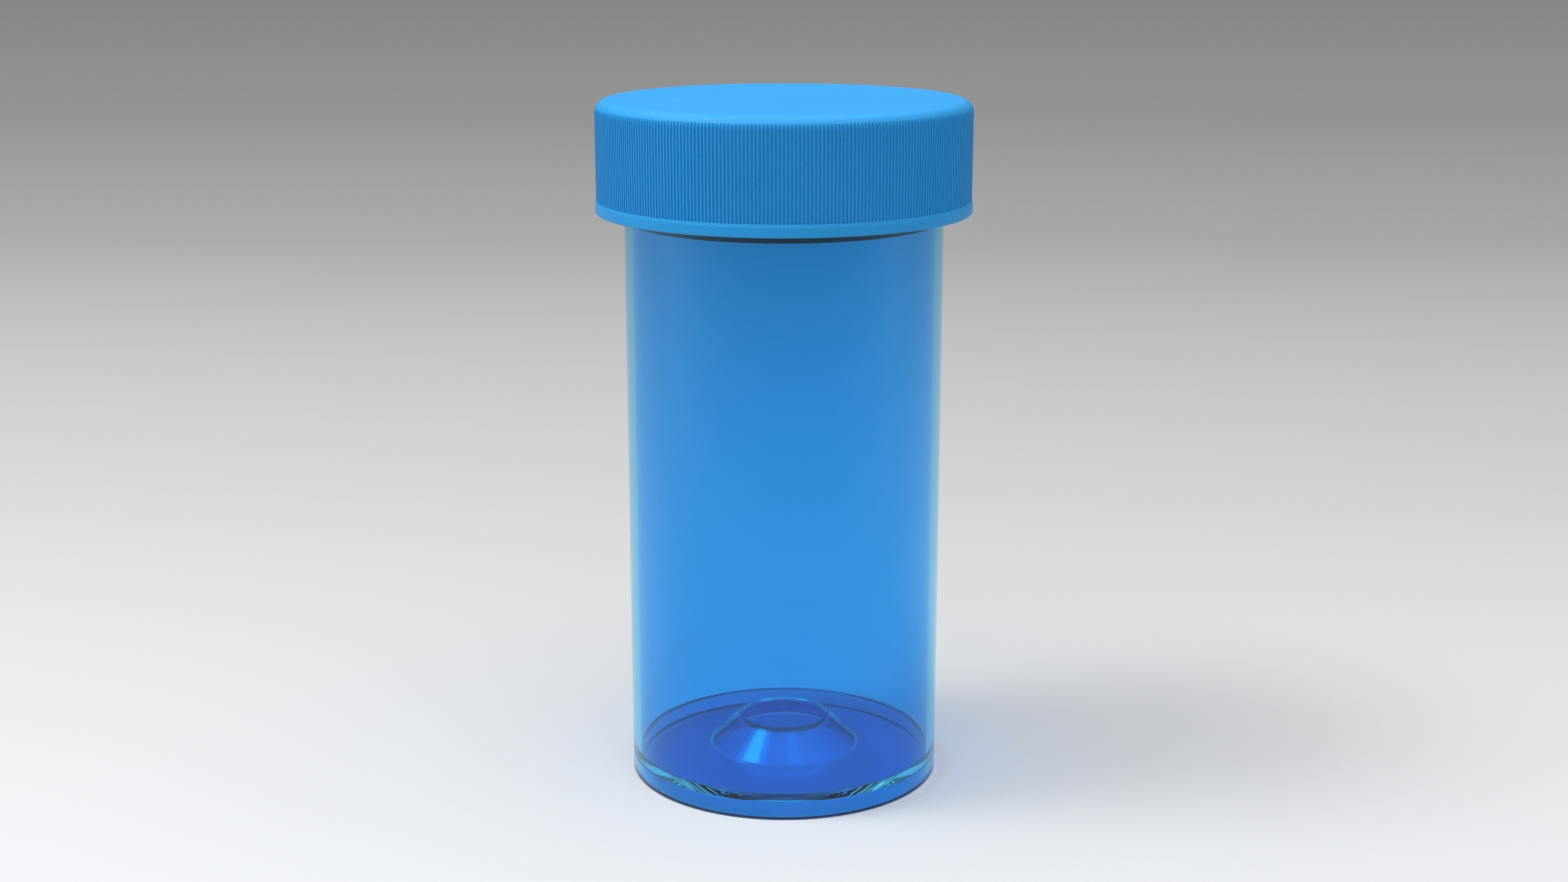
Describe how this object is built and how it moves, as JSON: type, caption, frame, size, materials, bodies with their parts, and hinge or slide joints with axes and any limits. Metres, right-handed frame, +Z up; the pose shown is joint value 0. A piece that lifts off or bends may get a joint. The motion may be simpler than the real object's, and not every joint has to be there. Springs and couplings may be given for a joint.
{
  "type": "prescription vial",
  "caption": "Straight-walled transparent blue prescription vial with a coned base and a push-down-and-turn screw closure, its ribbed outer shell free to turn on a threaded inner cap.",
  "frame": {"origin": "centre of the vial's base, on the surface that its foot ring stands on", "axes": "+Z up along the vial's axis, towards the closure; the object is round about Z and +X is arbitrary"},
  "size_m": [0.0448, 0.0448, 0.083],
  "materials": {
    "vial_plastic": "clear blue polypropylene, polished inside and out",
    "seal_rubber": "dark grey moulded elastomer",
    "inner_cap_plastic": "natural polypropylene, as moulded",
    "spring_plastic": "natural acetal, as moulded",
    "cap_plastic": "opaque blue polypropylene, satin with a fine moulded grain"
  },
  "bodies": {
    "vial": {"vial_body": "vial_plastic"},
    "seal": {"seal_plug": "seal_rubber"},
    "threaded_cap": {"inner_cap": "inner_cap_plastic"},
    "spring": {"spring_ring": "spring_plastic"},
    "shell": {"outer_shell": "cap_plastic"}
  },
  "joints": [
    {"name": "cap_rise", "type": "slide", "parent": "vial", "child": "seal", "axis": [0, 0, 1], "range_m": [0, 0.012]},
    {"name": "cap_turn", "type": "hinge", "parent": "seal", "child": "threaded_cap", "pos_m": [0, 0, 0.0795], "axis": [0, 0, 1], "range_deg": [0, 1440]},
    {"name": "shell_spin", "type": "hinge", "parent": "threaded_cap", "child": "spring", "pos_m": [0, 0, 0.081], "axis": [0, 0, 1], "continuous": true},
    {"name": "shell_push", "type": "slide", "parent": "spring", "child": "shell", "axis": [0, 0, 1], "range_m": [-0.00085, 0], "stiffness_N_per_m": 1500, "springref_m": 0.004, "deforming": ["spring_ring"]}
  ],
  "couplings": [
    {"joint": "cap_rise", "follows": "cap_turn", "m_per_rad": 0.00047746}
  ]
}
